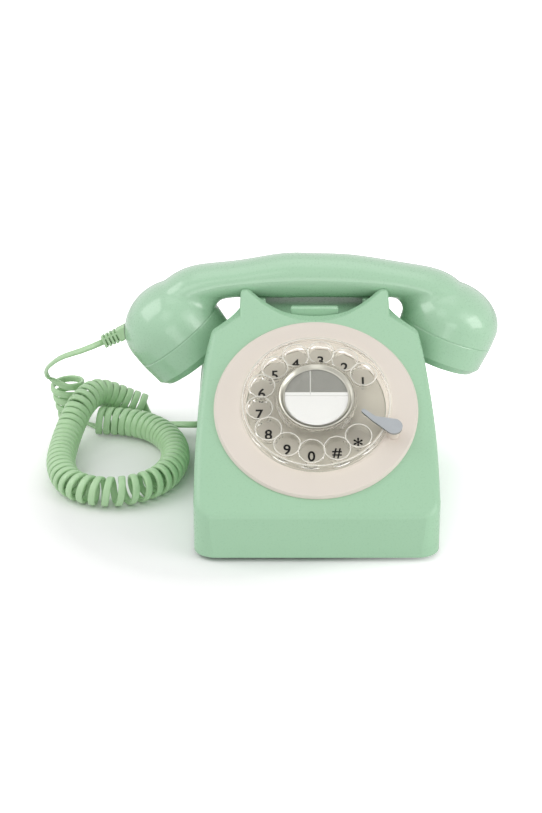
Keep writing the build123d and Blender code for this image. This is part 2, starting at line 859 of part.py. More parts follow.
gong_under = gong_base + gong_rise - 1.5
with BuildPart() as gong_posts:
    for x in (-gong_x, gong_x):
        with BuildSketch(Plane.XY.offset(plate_top)):
            with Locations((x, gong_y)):
                Circle(3.8)
                Circle(1.5 + running_gap, mode=Mode.SUBTRACT)
        extrude(amount=gong_under - 0.4 - plate_top)
save(gong_posts.part, "gong_posts")

with BuildPart() as gong_screws:
    for x in (-gong_x, gong_x):
        with BuildSketch(Plane.XY.offset(gong_under - 8)):
            with Locations((x, gong_y)):
                Circle(1.5)
        extrude(amount=10)
        with BuildSketch(Plane.XY.offset(gong_under + 1.5)):
            with Locations((x, gong_y)):
                Circle(3.4)
        extrude(amount=1.8)
save(gong_screws.part, "gong_screws")

coil_z = 15.0
clapper_y = 34.0
with BuildPart() as ringer_frame:
    with BuildSketch(Plane.XY.offset(plate_top)):
        with Locations((0, 17)):
            Rectangle(22, 42)
    extrude(amount=1.5)
    with BuildSketch(Plane.XY.offset(plate_top)):
        with Locations((0, -2.0), (0, 26.0)):
            Rectangle(18, 2)
    extrude(amount=20)
    with BuildSketch(Plane.XY.offset(plate_top)):
        with Locations((0, clapper_y)):
            Circle(1.5)
    extrude(amount=16)
save(ringer_frame.part, "ringer_frame")

with BuildPart() as ringer_coil:
    with BuildSketch(Plane.XZ.offset(1.0)):
        with Locations((0, coil_z)):
            Circle(7)
    extrude(amount=-26)
    for y in (-1.0, 23.5):
        with BuildSketch(Plane.XZ.offset(-y)):
            with Locations((0, coil_z)):
                Circle(8.2)
        extrude(amount=-1.5)
save(ringer_coil.part, "ringer_coil")

with BuildPart() as clapper:
    with BuildSketch(Plane.XY.offset(coil_z - 4)):
        with Locations((0, clapper_y)):
            Circle(3.4)
        with Locations((0, clapper_y - 3.0)):
            Rectangle(16, 1.6)
        with Locations((0, clapper_y)):
            Circle(1.5 + running_gap, mode=Mode.SUBTRACT)
    extrude(amount=8)
    with BuildSketch(Plane.XZ.offset(-clapper_y - 3)):
        with Locations((0, coil_z)):
            Circle(1.1)
    extrude(amount=-15)
    with BuildSketch(Plane.XZ.offset(-gong_y)):
        with BuildLine():
            Line((0, coil_z - 3.2), (0, coil_z + 3.2))
            ThreePointArc((0, coil_z + 3.2), (3.2, coil_z), (0, coil_z - 3.2))
        make_face()
    revolve(axis=Axis((0, gong_y, 0), (0, 0, 1)))
save(clapper.part, "clapper")

# Circuit board on posts, with its parts
board_z = plate_top + 6.8
board_y = -52.0
with BuildPart() as board_posts:
    with BuildSketch(Plane.XY.offset(plate_top)):
        with Locations((0, board_y)):
            with GridLocations(78, 52, 2, 2):
                Circle(3)
    extrude(amount=board_z - plate_top)
save(board_posts.part, "board_posts")

with BuildPart() as circuit_board:
    with BuildSketch(Plane.XY.offset(board_z)):
        with Locations((0, board_y)):
            RectangleRounded(88, 62, 2)
    extrude(amount=1.6)
save(circuit_board.part, "circuit_board")

board_top = board_z + 1.6
with BuildPart() as board_parts:
    for x, y, w, d, h in ((-28, -66, 16, 12, 9), (-4, -64, 12, 8, 4), (20, -66, 20, 9, 5), (30, -42, 10, 14, 8)):
        with BuildSketch(Plane.XY.offset(board_top)):
            with Locations((x, y)):
                Rectangle(w, d)
        extrude(amount=h)
    for x, y in ((-34, -40), (-22, -40), (-10, -40), (8, -40)):
        with BuildSketch(Plane.XY.offset(board_top)):
            with Locations((x, y)):
                Circle(4)
        extrude(amount=10)
save(board_parts.part, "board_parts")

# Line socket in the rear wall and the handset cord's jack in the left wall
socket_rear = half_depth - 1.6
with BuildPart() as line_socket:
    with BuildSketch(Plane.XZ.offset(-socket_rear)):
        with Locations((socket_x, socket_z)):
            Rectangle(socket_size[0], socket_size[2])
    extrude(amount=socket_size[1])
    with BuildSketch(Plane.XZ.offset(-socket_rear)):
        with Locations((socket_x, socket_z)):
            Rectangle(10, 7.4)
        with Locations((socket_x, socket_z - 4.4)):
            Rectangle(4.6, 2)
    extrude(amount=socket_size[1] - 2, mode=Mode.SUBTRACT)
save(line_socket.part, "line_socket")

jack_face = -half_width + 1.5
jack_inner = -half_width + case_wall + panel_gap
with BuildPart() as handset_jack:
    with BuildSketch(Plane.YZ.offset(jack_inner)):
        with Locations((cord_entry_y, (plate_top + 17) / 2)):
            Rectangle(12, 17 - plate_top)
    extrude(amount=11)
    with BuildSketch(Plane.YZ.offset(jack_face)):
        with Locations((cord_entry_y, cord_entry_z)):
            Rectangle(10, 8)
    extrude(amount=jack_inner - jack_face)
save(handset_jack.part, "handset_jack")

plug_length = 1.3
with BuildPart() as cord_plug:
    with BuildSketch(Plane.YZ.offset(jack_face)):
        with Locations((cord_entry_y, cord_entry_z)):
            Rectangle(7.6, 6.2)
    extrude(amount=-plug_length)
    chamfer(cord_plug.edges().filter_by(Axis.X), 0.8)
save(cord_plug.part, "cord_plug")

# Handset handle: hollow ends under the caps
end_tilt = {-1: 39.0, 1: 21.5}
end_drop = {-1: 37.9, 1: 34.9}
dome_straight = {-1: 9.0, 1: 8.0}
dome_height = {-1: 26.0, 1: 23.0}
end_wall = 3.0
end_blend = cap_radius * 4 / 15


def end_plane(side, along):
    tilt = radians(end_tilt[side])
    centre = Vector(side * handset_half_span, -end_drop[side], 0)
    outward = Vector(side * sin(tilt), cos(tilt), 0)
    middle = handset_plane.from_local_coords(centre + outward * along)
    toward = handset_plane.from_local_coords(centre + outward * (along + 1)) - middle
    return Plane(origin=middle, x_dir=handset_plane.z_dir, z_dir=toward)


def dome_form(side, inset):
    base = end_plane(side, 0)
    radius = cap_radius - inset
    with BuildPart() as form:
        with BuildSketch(profile_plane(base)):
            with BuildLine():
                out = Line((0, 0), (radius, 0))
                Line(out @ 1, (radius, dome_straight[side]))
                crest = dome_straight[side] + dome_height[side] - inset
                bulge = 0.5523 * (dome_height[side] - inset)
                Bezier(
                    (radius, dome_straight[side]),
                    (radius, dome_straight[side] + bulge),
                    (0.5523 * radius, crest),
                    (0, crest),
                )
                Line((0, crest), (0, 0))
            make_face()
        revolve(axis=spin_axis(base))
    return form.part


boot_root = Vector(-119.6, -37.4, 0)
boot_angle = 25.0
boot_length = 12.5
boot_out = Vector(-cos(radians(boot_angle)), -sin(radians(boot_angle)), 0)


def boot_plane(along):
    middle = handset_plane.from_local_coords(boot_root + boot_out * along)
    toward = handset_plane.from_local_coords(boot_root + boot_out * (along + 1)) - middle
    return Plane(origin=middle, x_dir=handset_plane.z_dir, z_dir=toward)


with BuildPart() as handset_handle:
    add(handle_form(0))
    for side in (-1, 1):
        add(dome_form(side, 0))
    for side in (-1, 1):
        with BuildSketch(end_plane(side, 0)):
            Circle(cap_radius + 0.5)
        extrude(amount=-40, mode=Mode.SUBTRACT)
    fillet(
        handset_handle.edges().filter_by(
            lambda e: e.geom_type == GeomType.BSPLINE and e.bounding_box().size.X < handset_half_span
        ),
        end_blend,
    )
    for side in (-1, 1):
        add(dome_form(side, end_wall), mode=Mode.SUBTRACT)
save(handset_handle.part, "handset_handle")

# Screw-on caps: wall, rounded rim, raised face and a spigot inside the handle's end
cap_depth = 19.2
cap_skin = 2.4


def cap_profile(side):
    inner = cap_radius - end_wall - running_gap
    with BuildSketch(profile_plane(end_plane(side, 0))) as outline:
        with BuildLine():
            Polyline(
                (0, -cap_depth - 1.2),
                (20.5, -cap_depth - 1.2),
                (21.7, -cap_depth),
                (25.2, -cap_depth),
                (28.6, -cap_depth + 4.0),
                (cap_radius, -1.0),
                (cap_radius - 0.6, 0),
                (inner, 0),
                (inner, 5),
                (inner - cap_skin, 5),
                (inner - cap_skin, -cap_depth + cap_skin),
                (0, -cap_depth + cap_skin),
                close=True,
            )
        make_face()
    return outline.sketch


def cap_holes(side):
    with BuildSketch(end_plane(side, -cap_depth - 3)) as holes:
        Circle(1.5)
        with PolarLocations(6.5, 6):
            Circle(1.5)
        with PolarLocations(13.0, 12, 15):
            Circle(1.5)
    return holes.sketch


with BuildPart() as receiver_cap:
    revolve(cap_profile(1), axis=spin_axis(end_plane(1, 0)))
    extrude(cap_holes(1), amount=8, mode=Mode.SUBTRACT)
save(receiver_cap.part, "receiver_cap")

with BuildPart() as transmitter_cap:
    revolve(cap_profile(-1), axis=spin_axis(end_plane(-1, 0)))
    extrude(cap_holes(-1), amount=8, mode=Mode.SUBTRACT)
save(transmitter_cap.part, "transmitter_cap")

# Capsules behind the caps
capsule_radius = cap_radius - end_wall - cap_skin - 2 * panel_gap
with BuildPart() as receiver_capsule:
    with BuildSketch(end_plane(1, -cap_depth + cap_skin)):
        Circle(capsule_radius)
    extrude(amount=9)
    with BuildSketch(end_plane(1, -cap_depth + cap_skin + 9)):
        Circle(capsule_radius - 7)
    extrude(amount=4)
save(receiver_capsule.part, "receiver_capsule")

with BuildPart() as transmitter_capsule:
    with BuildSketch(end_plane(-1, -cap_depth + cap_skin)):
        Circle(capsule_radius)
    extrude(amount=7)
    with BuildSketch(end_plane(-1, -cap_depth + cap_skin + 7)):
        with Locations((-8, 0), (8, 0)):
            Rectangle(4, 12)
    extrude(amount=3)
save(transmitter_capsule.part, "transmitter_capsule")

# Cord boot: tapered block against the handle's end with slots on both sides
with BuildPart() as cord_boot:
    with BuildSketch(boot_plane(-9)):
        RectangleRounded(9.2, 9.2, 1.2)
    with BuildSketch(boot_plane(boot_length)):
        RectangleRounded(7.8, 7.8, 1.2)
    loft()
    add(dome_form(-1, -seat_gap), mode=Mode.SUBTRACT)
    for step in range(4):
        with BuildSketch(boot_plane(2.2 + 2.5 * step)):
            with Locations((0, 4.6), (0, -4.6)):
                Rectangle(12, 4.2)
        extrude(amount=1.1, mode=Mode.SUBTRACT)
save(cord_boot.part, "cord_boot")

# Curly cord: wire centre line as points with directions, joined by pairs of arcs
cord_radius = cord_diameter / 2
axis_height = curl_radius + cord_radius + 0.15
dense_pitch = cord_diameter * 1.5
left_wall_x = -half_width
loop_centre = (left_wall_x - 90.0, 100.0)
loop_radius = 8.6
loop_pitch = 6.2
loop_turns = 4.5
loop_top = loop_turns * loop_pitch + cord_radius + 1.3
curl_route = [
    (left_wall_x - 68.0, 76.3, axis_height),
    (left_wall_x - 51.5, 75.0, axis_height),
    (left_wall_x - 35.5, 68.0, axis_height),
    (left_wall_x - 23.5, 55.0, axis_height),
    (left_wall_x - 15.5, 34.0, axis_height),
    (left_wall_x - 15.5, 6.0, axis_height),
    (left_wall_x - 27.5, -18.0, axis_height),
    (left_wall_x - 52.5, -29.5, axis_height),
    (left_wall_x - 77.5, -20.0, axis_height),
    (left_wall_x - 87.5, 8.0, axis_height),
    (left_wall_x - 87.0, 42.0, axis_height + 0.5),
    (left_wall_x - 83.0, 60.0, axis_height + 7.5),
    (left_wall_x - 78.0, 73.0, 23.5),
    (left_wall_x - 71.0, 89.5, 24.5),
    (left_wall_x - 61.5, 99.0, 20.5),
    (left_wall_x - 51.0, 104.6, 14.0),
    (left_wall_x - 40.2, 106.6, axis_height),
]


def route_knots(count):
    inner = [k / (count - 2) for k in range(1, count - 2)]
    return [0.0] * 3 + inner + [1.0] * 3


with BuildLine() as curl_axis:
    axis_curve = BSpline(curl_route, route_knots(len(curl_route)), 2)
axis_length = axis_curve.length
stretch_at = 0.41 * axis_length
stretch_width = 0.09 * axis_length


def pitch_at(s):
    return dense_pitch * (1.0 + 0.4 * 2.718281828 ** (-(((s - stretch_at) / stretch_width) ** 2)))


def curl_point(s, phase):
    centre = axis_curve @ (s / axis_length)
    ahead = axis_curve % (s / axis_length)
    across = ahead.cross(Vector(0, 0, 1)).normalized()
    upward = across.cross(ahead).normalized()
    return centre + across * (curl_radius * cos(phase)) + upward * (curl_radius * sin(phase))


# March along the axis until the phase ends a whole number of quarter turns on
march = 0.05
samples = [(0.0, -pi / 2)]
while samples[-1][0] < axis_length - march:
    place, phase = samples[-1]
    samples.append((place + march, phase + march * 2 * pi / pitch_at(place)))
quarter_total = int((samples[-1][1] + pi / 2) / (pi / 2))
quarter_total = quarter_total - (quarter_total - 3) % 4
phase_scale = (quarter_total * pi / 2) / (samples[-1][1] + pi / 2)
quarters = []
mark = 0
for place, phase in samples:
    scaled = (phase + pi / 2) * phase_scale
    while mark <= quarter_total and scaled >= mark * pi / 2 - 1e-9:
        quarters.append((place, mark * pi / 2 - pi / 2))
        mark = mark + 1
if mark <= quarter_total:
    quarters.append((axis_length, quarter_total * pi / 2 - pi / 2))
curl_count = quarter_total / 4

nodes = []
for k in range(int(loop_turns * 4) + 1):
    turn = pi - k * pi / 2
    height = loop_top - k * loop_pitch / 4
    at = Vector(loop_centre[0] + loop_radius * cos(turn), loop_centre[1] + loop_radius * sin(turn), height)
    heading = Vector(sin(turn) * loop_radius, -cos(turn) * loop_radius, -loop_pitch / (2 * pi)).normalized()
    nodes.append((at, heading))
low = cord_radius + 0.15
for place, phase in quarters:
    at = curl_point(place, phase)
    rate = 2 * pi / (pitch_at(place) / phase_scale)
    d = 0.02
    before = curl_point(max(place - d, 0), phase - min(d, place) * rate)
    after = curl_point(min(place + d, axis_length), phase + min(d, axis_length - place) * rate)
    nodes.append((at, (after - before).normalized()))
tail_heading = Vector(0.55, -0.83, 0.1).normalized()
tail_start = Vector(-107.5, 103.5, low + 1.2)
nodes.append((tail_start - tail_heading * cord_diameter, tail_heading))


def arc_pair(p0, t0, p1, t1):
    v = p1 - p0
    t = t0 + t1
    k = 2 * (1 - t0.dot(t1))
    if k < 1e-6:
        d = v.dot(v) / (4 * v.dot(t0)) * 1.0
    else:
        d = (-v.dot(t) + sqrt(v.dot(t) ** 2 + k * v.dot(v))) / k
    joint = (p0 + p1 + (t0 - t1) * d) * 0.5
    return joint


lead_end = nodes[0][0] - nodes[0][1] * cord_diameter
arcs = []
for (p0, t0), (p1, t1) in zip(nodes[:-1], nodes[1:]):
    joint = arc_pair(p0, t0, p1, t1)
    arcs.append((TangentArc(p0, joint, tangent=t0), False))
    arcs.append((TangentArc(p1, joint, tangent=-t1), True))
ends = [Line(lead_end, nodes[0][0]), Line(nodes[-1][0], tail_start)]
wire_path = Wire([ends[0].edge()] + [arc.edge() for arc, backward in arcs] + [ends[1].edge()])
print("curls", curl_count, "loops", loop_turns, "wire", round(wire_path.length))

# Least gap of the wire to itself, on points about 0.8 mm apart
step = 0.8
spots = []
for arc, backward in arcs:
    count = max(2, round(arc.length / step))
    for k in range(count):
        spots.append(arc @ (1 - k / count if backward else k / count))
cells = {}
least = 99.0
for k, p in enumerate(spots):
    key = (int(p.X // 5), int(p.Y // 5), int(p.Z // 5))
    for dx in (-1, 0, 1):
        for dy in (-1, 0, 1):
            for dz in (-1, 0, 1):
                for j in cells.get((key[0] + dx, key[1] + dy, key[2] + dz), []):
                    if k - j > 14:
                        least = min(least, (spots[j] - p).length - cord_diameter)
    cells.setdefault(key, []).append(k)
lowest = min(p.Z for p in spots) - cord_radius
print("least gap of the cord to itself", round(least, 2), "lowest", round(lowest, 2))

with BuildPart() as cord_curls:
    with BuildSketch(Plane(origin=lead_end, z_dir=nodes[0][1])):
        Circle(cord_radius)
    sweep(path=wire_path)
save(cord_curls.part, "cord_curls")
swept_ratio = cord_curls.part.volume / (pi * cord_radius**2 * wire_path.length)
print("cord volume against section times length", round(swept_ratio, 4))


# Plain stretches: straight runs joined by tangent arcs
def corner_radii(points):
    radii = []
    for a, b, c in zip(points[:-2], points[1:-1], points[2:]):
        turn = acos(max(-1.0, min(1.0, (b - a).normalized().dot((c - b).normalized()))))
        radii.append(0.45 * min((b - a).length, (c - b).length) / tan(turn / 2))
    return radii


boot_end = boot_plane(boot_length).origin
boot_way = boot_plane(boot_length).z_dir
lead_way = nodes[0][1]
lead_points = [
    boot_end,
    boot_end + boot_way * 13.0,
    Vector(left_wall_x - 88.5, 52.0, 65.0),
    Vector(left_wall_x - 98.5, 66.0, 52.0),
    lead_end - lead_way * 14.0,
    lead_end,
]
plug_end = Vector(jack_face - plug_length, cord_entry_y, cord_entry_z)
tail_points = [
    tail_start,
    tail_start + tail_heading * 16.0,
    plug_end - Vector(17.0, 0, 0),
    plug_end,
]
print("lead radii", [round(r, 1) for r in corner_radii(lead_points)])
print("tail radii", [round(r, 1) for r in corner_radii(tail_points)])

with BuildPart() as cord_lead:
    with BuildLine() as lead_line:
        FilletPolyline(*lead_points, radius=corner_radii(lead_points))
    with BuildSketch(Plane(origin=boot_end, z_dir=boot_way)):
        Circle(cord_radius)
    sweep(path=lead_line.wires()[0])
save(cord_lead.part, "cord_lead")

with BuildPart() as cord_tail:
    with BuildLine() as tail_line:
        FilletPolyline(*tail_points, radius=corner_radii(tail_points))
    with BuildSketch(Plane(origin=tail_start, z_dir=tail_heading)):
        Circle(cord_radius)
    sweep(path=tail_line.wires()[0])
save(cord_tail.part, "cord_tail")
print("cord length", round(wire_path.length + lead_line.wires()[0].length + tail_line.wires()[0].length))
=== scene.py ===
import json
from math import cos, exp, pi, radians, sin

import bmesh
import bpy
from mathutils import Matrix, Vector


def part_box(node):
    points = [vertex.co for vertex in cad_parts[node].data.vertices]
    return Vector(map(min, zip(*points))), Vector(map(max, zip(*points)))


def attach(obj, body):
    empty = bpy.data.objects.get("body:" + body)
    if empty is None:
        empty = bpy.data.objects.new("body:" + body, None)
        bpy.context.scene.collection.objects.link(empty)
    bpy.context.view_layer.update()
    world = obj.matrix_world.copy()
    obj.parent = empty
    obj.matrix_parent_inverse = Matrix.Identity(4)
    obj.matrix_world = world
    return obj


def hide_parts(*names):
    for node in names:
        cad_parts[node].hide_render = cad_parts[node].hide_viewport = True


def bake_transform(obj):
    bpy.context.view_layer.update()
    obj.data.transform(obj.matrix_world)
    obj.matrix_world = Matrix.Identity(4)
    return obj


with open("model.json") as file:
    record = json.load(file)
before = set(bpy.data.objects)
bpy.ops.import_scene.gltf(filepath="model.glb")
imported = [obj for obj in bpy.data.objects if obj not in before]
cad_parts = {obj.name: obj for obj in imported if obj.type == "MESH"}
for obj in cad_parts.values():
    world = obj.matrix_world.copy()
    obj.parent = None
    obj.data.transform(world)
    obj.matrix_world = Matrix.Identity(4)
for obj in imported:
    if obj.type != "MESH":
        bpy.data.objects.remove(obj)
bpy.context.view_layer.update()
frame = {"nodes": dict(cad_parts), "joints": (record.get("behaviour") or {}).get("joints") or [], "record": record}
print("frame loaded:", len(frame["nodes"]), "nodes")

# the dial's own axes, from its joint
dialJoint = next(j for j in frame["joints"] if j["name"] == "dial_spin")
dialCentre = Vector(dialJoint["pos_m"])
dialOut = -Vector(dialJoint["axis"]).normalized()
dialRight = Vector((1, 0, 0))
dialUp = dialOut.cross(dialRight)


def onDial(right, up, out):
    return dialCentre + dialRight * right + dialUp * up + dialOut * out


# shader maths as plain expressions
class Wire:
    def __init__(self, tree, socket=None):
        self.tree = tree
        self.socket = socket

    def add(self, kind, values=None, out=0, **settings):
        node = self.tree.nodes.new(kind)
        for name, value in settings.items():
            setattr(node, name, value)
        for name, value in (values or {}).items():
            if isinstance(value, Wire):
                self.tree.links.new(value.socket, node.inputs[name])
            else:
                node.inputs[name].default_value = value
        return Wire(self.tree, node.outputs[out] if node.outputs else None)

    def maths(self, operation, first, second=0.0):
        return self.add("ShaderNodeMath", {0: first, 1: second}, operation=operation)

    def __add__(self, other):
        return self.maths("ADD", self, other)

    def __radd__(self, other):
        return self.maths("ADD", other, self)

    def __sub__(self, other):
        return self.maths("SUBTRACT", self, other)

    def __rsub__(self, other):
        return self.maths("SUBTRACT", other, self)

    def __mul__(self, other):
        return self.maths("MULTIPLY", self, other)

    def __rmul__(self, other):
        return self.maths("MULTIPLY", other, self)

    def __gt__(self, other):
        return self.maths("GREATER_THAN", self, other)

    def __lt__(self, other):
        return self.maths("LESS_THAN", self, other)


def linear(red, green, blue):  # a colour as seen on screen, 0 to 255
    share = [c / 255 for c in (red, green, blue)]
    return tuple(c / 12.92 if c <= 0.04045 else ((c + 0.055) / 1.055) ** 2.4 for c in share) + (1.0,)


def startMaterial(name):
    material = bpy.data.materials.new(name)
    material.use_nodes = True
    material.node_tree.nodes.clear()
    return material, Wire(material.node_tree)


def finishMaterial(material, tree, shader):
    tree.add("ShaderNodeOutputMaterial", {"Surface": shader})
    return material


def blendColours(tree, factor, first, second):
    return tree.add(
        "ShaderNodeMix", {0: factor, 6: first, 7: second}, out=2, data_type="RGBA", blend_type="MIX"
    )


# what a finish has unless it says otherwise
plainFinish = dict(
    cloudDetail=3.0, grainDetail=2.0, bend=1.46, specular=0.5, metal=0.0, coat=0.0, coatRough=0.12, clear=0.0,
)


def noiseOver(tree, place, scale, detail):
    return tree.add("ShaderNodeTexNoise", {"Vector": place, "Scale": scale, "Detail": detail})


# one recipe for every moulded or painted surface: cloudy colour, uneven gloss and a fine skin
def mouldedMaterial(name, finish):
    look = {**plainFinish, **finish}
    material, tree = startMaterial(name)
    place = tree.add("ShaderNodeTexCoord", out=3)
    cloud = noiseOver(tree, place, look["cloudScale"], look["cloudDetail"])
    grain = noiseOver(tree, place, look["grainScale"], look["grainDetail"])
    colour = blendColours(tree, cloud, look["colour"], look["shade"])
    rough = look["rough"] + (grain - 0.5) * look["roughSpread"]
    skin = tree.add(
        "ShaderNodeBump", {"Height": grain, "Strength": look["skin"], "Distance": look["skinDepth"]}
    )
    values = {
        "Base Color": colour, "Roughness": rough, "Normal": skin, "IOR": look["bend"], "Metallic": look["metal"],
        "Coat Weight": look["coat"], "Coat Roughness": look["coatRough"], "Specular IOR Level": look["specular"],
        "Transmission Weight": look["clear"],
    }
    shader = tree.add("ShaderNodeBsdfPrincipled", values)
    if "veil" in look:  # lamp light falls through clear plastic onto what lies under it
        shadow = tree.add("ShaderNodeLightPath", out=1)
        through = tree.add("ShaderNodeBsdfTransparent", {"Color": look["veil"]})
        shader = tree.add("ShaderNodeMixShader", {0: shadow, 1: shader, 2: through})
    return finishMaterial(material, tree, shader)


mint = dict(
    colour=linear(168, 207, 175), shade=linear(163, 203, 170), cloudScale=14.0, grainScale=900.0,
    rough=0.28, roughSpread=0.06, skin=0.008, skinDepth=0.0001, coat=0.8,
)
mintCase = dict(mint, coat=0.15, specular=0.3)
cordMint = dict(
    colour=linear(184, 219, 174), shade=linear(175, 211, 164), cloudScale=40.0, grainScale=700.0,
    rough=0.34, roughSpread=0.1, skin=0.08, skinDepth=0.0002, coat=0.15,
)
cream = dict(
    colour=linear(226, 217, 207), shade=linear(222, 213, 202), cloudScale=20.0, grainScale=1100.0,
    rough=0.42, roughSpread=0.12, skin=0.08, skinDepth=0.0001,
)
warmGrey = dict(
    colour=linear(183, 178, 166), shade=linear(178, 173, 161), cloudScale=30.0, grainScale=1500.0,
    rough=0.5, roughSpread=0.1, skin=0.1, skinDepth=0.0001,
)
clearPlastic = dict(
    colour=linear(252, 252, 250), shade=linear(249, 249, 246), cloudScale=30.0, grainScale=400.0,
    rough=0.04, roughSpread=0.02, skin=0.02, skinDepth=0.0001, clear=1.0, bend=1.22,
    veil=(0.97, 0.97, 0.96, 1),
)
# half-clear plastic for the rings on the wheel's rims: a painted highlight along the clear plastic's edges
rimHighlightPlastic = dict(
    clearPlastic, colour=linear(246, 244, 238), shade=linear(241, 239, 232), rough=0.12, clear=0.45,
)
silver = dict(
    colour=linear(164, 168, 171), shade=linear(155, 159, 162), cloudScale=120.0, grainScale=1500.0,
    rough=0.38, roughSpread=0.12, skin=0.05, skinDepth=0.0001, metal=1.0,
)
hubSilver = dict(silver, colour=linear(190, 188, 177), shade=linear(180, 178, 167), rough=0.3)
plated = dict(
    colour=linear(186, 188, 190), shade=linear(168, 170, 172), cloudScale=60.0, grainScale=1800.0,
    rough=0.33, roughSpread=0.15, skin=0.08, skinDepth=0.0001, metal=1.0,
)
brass = dict(
    colour=linear(205, 172, 104), shade=linear(188, 152, 86), cloudScale=80.0, grainScale=1600.0,
    rough=0.3, roughSpread=0.14, skin=0.06, skinDepth=0.0001, metal=1.0,
)
black = dict(
    colour=linear(34, 34, 35), shade=linear(26, 26, 27), cloudScale=50.0, grainScale=900.0,
    rough=0.55, roughSpread=0.15, skin=0.2, skinDepth=0.0002,
)
rubber = dict(
    colour=linear(30, 30, 31), shade=linear(22, 22, 23), cloudScale=60.0, grainScale=700.0,
    rough=0.75, roughSpread=0.15, skin=0.35, skinDepth=0.0003,
)
copper = dict(
    colour=linear(150, 82, 48), shade=linear(128, 64, 36), cloudScale=200.0, grainScale=1500.0,
    rough=0.4, roughSpread=0.15, skin=0.3, skinDepth=0.0002,
)
laminate = dict(
    colour=linear(172, 148, 96), shade=linear(158, 132, 82), cloudScale=150.0, grainScale=1200.0,
    rough=0.5, roughSpread=0.1, skin=0.15, skinDepth=0.0001,
)
nylon = dict(
    colour=linear(226, 226, 220), shade=linear(218, 218, 212), cloudScale=60.0, grainScale=900.0,
    rough=0.5, roughSpread=0.1, skin=0.1, skinDepth=0.0001,
)
ink = dict(
    colour=linear(24, 23, 22), shade=linear(18, 17, 16), cloudScale=300.0, grainScale=2500.0,
    rough=0.6, roughSpread=0.1, skin=0.05, skinDepth=0.00005, specular=0.25,
)

# the card in the hub: grey field above, white below, with hairlines
card = dict(
    split=0.0035, rule=0.00018, ruleUp=0.0012, ruleAcross=-0.0035,
    grey=linear(127, 127, 122), white=linear(214, 214, 214), hair=linear(214, 214, 211),
    faint=linear(180, 180, 178), fibreScale=1800.0, fibreDetail=4.0, rough=0.5, roughSpread=0.2,
    skin=0.1, skinDepth=0.00005,
)


def cardMaterial(name, look):
    material, tree = startMaterial(name)
    place = tree.add("ShaderNodeTexCoord", out=3)
    offset = tree.add("ShaderNodeVectorMath", {0: place, 1: dialCentre}, operation="SUBTRACT")
    up = tree.add("ShaderNodeVectorMath", {0: offset, 1: dialUp}, out=1, operation="DOT_PRODUCT")
    across = tree.add("ShaderNodeVectorMath", {0: offset, 1: dialRight}, out=1, operation="DOT_PRODUCT")
    upper = up > look["split"]
    level = tree.maths("ABSOLUTE", up - look["ruleUp"]) < look["rule"]
    upright = tree.maths("ABSOLUTE", across - look["ruleAcross"]) < look["rule"]
    lines = tree.maths("MAXIMUM", level, upright * (up > look["ruleUp"]))
    fibre = noiseOver(tree, place, look["fibreScale"], look["fibreDetail"])
    field = blendColours(tree, upper, look["white"], look["grey"])
    hairline = blendColours(tree, upper, look["faint"], look["hair"])
    colour = blendColours(tree, lines, field, hairline)
    skin = tree.add(
        "ShaderNodeBump", {"Height": fibre, "Strength": look["skin"], "Distance": look["skinDepth"]}
    )
    rough = look["rough"] + fibre * look["roughSpread"]
    values = {"Base Color": colour, "Roughness": rough, "Normal": skin}
    return finishMaterial(material, tree, tree.add("ShaderNodeBsdfPrincipled", values))


finishes = {
    "case_plastic": mouldedMaterial("mintCover", mintCase),
    "handset_plastic": mouldedMaterial("mintHandset", mint),
    "hook_plastic": mouldedMaterial("mintHook", mint),
    "cord_jacket": mouldedMaterial("cordJacket", cordMint),
    "plug_clear": mouldedMaterial("clearPlug", clearPlastic),
    "ring_plastic": mouldedMaterial("creamRing", cream),
    "plate_paint": mouldedMaterial("warmGreyPlate", warmGrey),
    "wheel_clear": mouldedMaterial("clearWheel", clearPlastic),
    "card_print": cardMaterial("hubCard", card),
    "stop_metal": mouldedMaterial("silverStop", silver),
    "steel": mouldedMaterial("platedSteel", plated),
    "brass": mouldedMaterial("turnedBrass", brass),
    "dark_plastic": mouldedMaterial("blackPlastic", black),
    "rubber": mouldedMaterial("footRubber", rubber),
    "copper_winding": mouldedMaterial("coilCopper", copper),
    "board": mouldedMaterial("boardLaminate", laminate),
    "post_plastic": mouldedMaterial("nylonPost", nylon),
}


def paintNode(node, material):
    data = frame["nodes"][node].data
    data.materials.clear()
    data.materials.append(material)


for entry in frame["record"]["subparts"]:
    paintNode(entry["node"], finishes[entry["material_slot"]])
paintNode("hub_ring", mouldedMaterial("silverHub", hubSilver))
print("materials:", len(finishes))

# the cord: a flat ribbon from the boot through loose loops and curls to the plug,
# on the CAD's routes in metres
cordLook = dict(
    width=0.0044, thick=0.0024, corner=0.62, sides=14, resolution=3,
    curlRadius=0.008, turns=57.75, perTurn=16, insideBy=1.019, axisSteps=40,
    pitch=0.0054, stretchAt=0.44, stretchWidth=0.09, stretchBy=0.4,
    loopCentre=(-0.1595, 0.0995), loopLean=(-0.0025, 0.0005), loopRadius=0.0078, loopPitch=0.0062,
    loopLow=0.0031, loopTurns=4, loopEnd=250.0, loopFlare=0.36,
    staysAt=(-0.14, 0.06, 0.037), followsAt=(-0.14, 0.06, 0.074),  # a low and a high point by the lead
)
